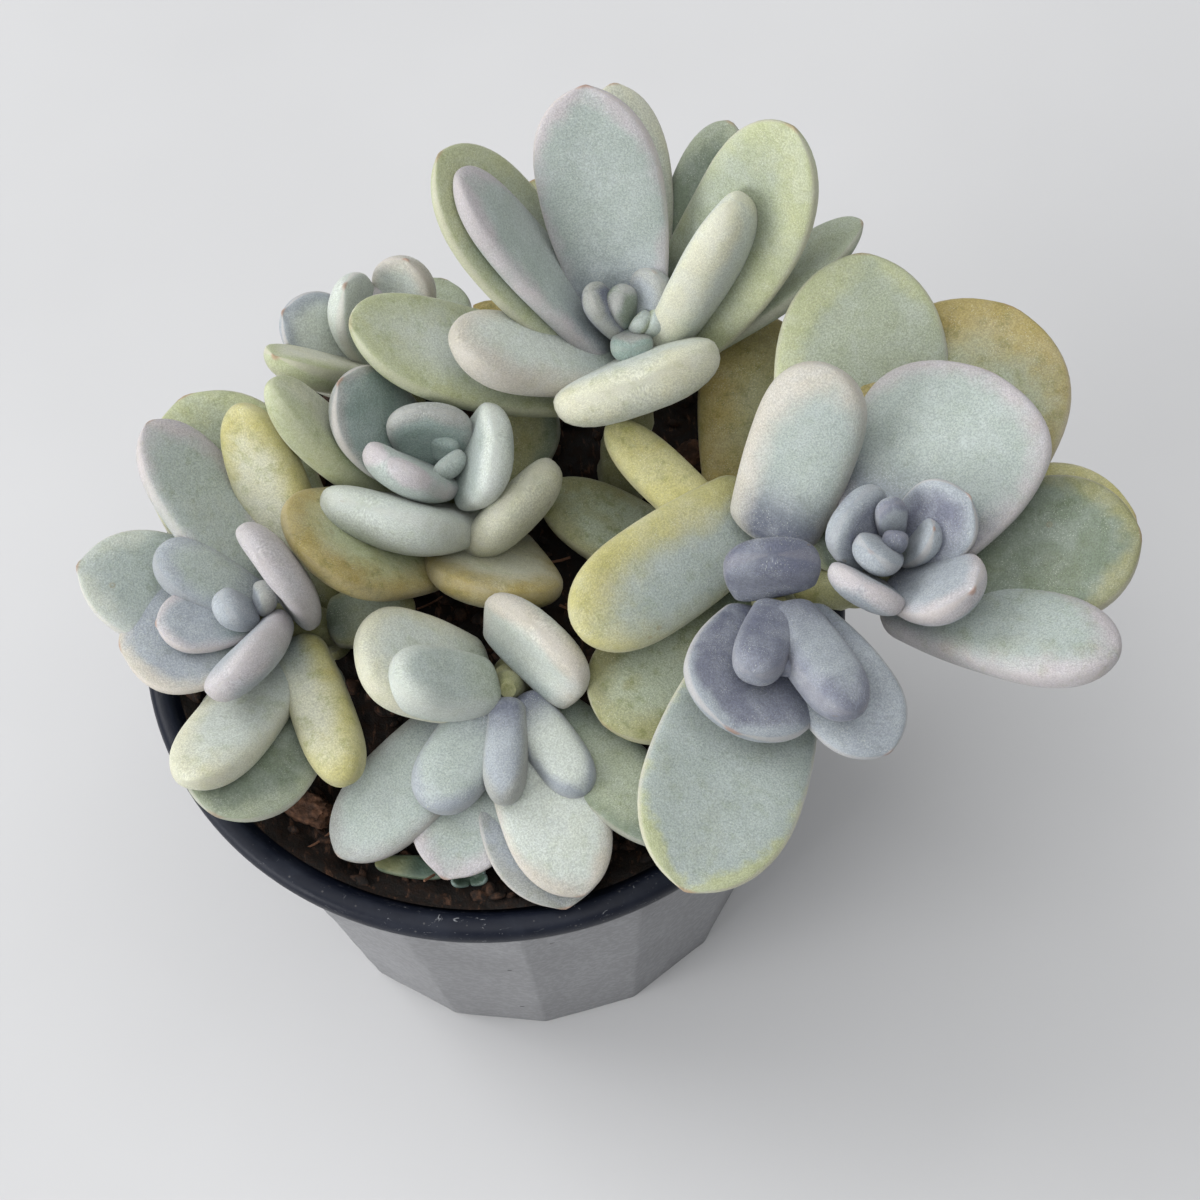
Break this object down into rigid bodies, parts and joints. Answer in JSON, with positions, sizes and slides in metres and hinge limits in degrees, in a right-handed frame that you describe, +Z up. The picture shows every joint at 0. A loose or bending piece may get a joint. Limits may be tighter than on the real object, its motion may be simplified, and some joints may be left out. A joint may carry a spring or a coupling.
{
  "type": "potted rosette succulent",
  "caption": "Clump of fleshy pale green and lavender rosettes growing over the rim of a round black nursery pot that hangs in a faceted grey cover pot.",
  "frame": {"origin": "centre of the cover pot's underside", "axes": "+Z up out of the pot, -Y towards the pictured front, +X to the right seen from the front"},
  "size_m": [0.1677, 0.1318, 0.1554],
  "materials": {
    "cover_pot": "matt grey cast, with fine pinholes",
    "nursery_pot": "black moulded plastic, scuffed and dusty",
    "soil": "dark damp coir and bark mix",
    "leaf": "fleshy, matt, with a powdery bloom",
    "fallen_leaf": "wilted, matt",
    "sprout": "fleshy, slightly waxy",
    "bark": "rough broken bark"
  },
  "bodies": {
    "root": {"cover_pot": "cover_pot", "nursery_pot": "nursery_pot", "nursery_rim": "nursery_pot", "soil": "soil", "head_top": "leaf", "head_right": "leaf", "head_centre": "leaf", "head_left": "leaf", "head_front": "leaf", "head_back": "leaf", "fallen_leaf": "fallen_leaf", "sprout": "sprout", "bark_chip_1": "bark", "bark_chip_2": "bark", "bark_chip_3": "bark", "bark_chip_4": "bark", "bark_chip_5": "bark", "bark_chip_6": "bark", "bark_chip_7": "bark", "bark_chip_8": "bark"}
  },
  "joints": []
}
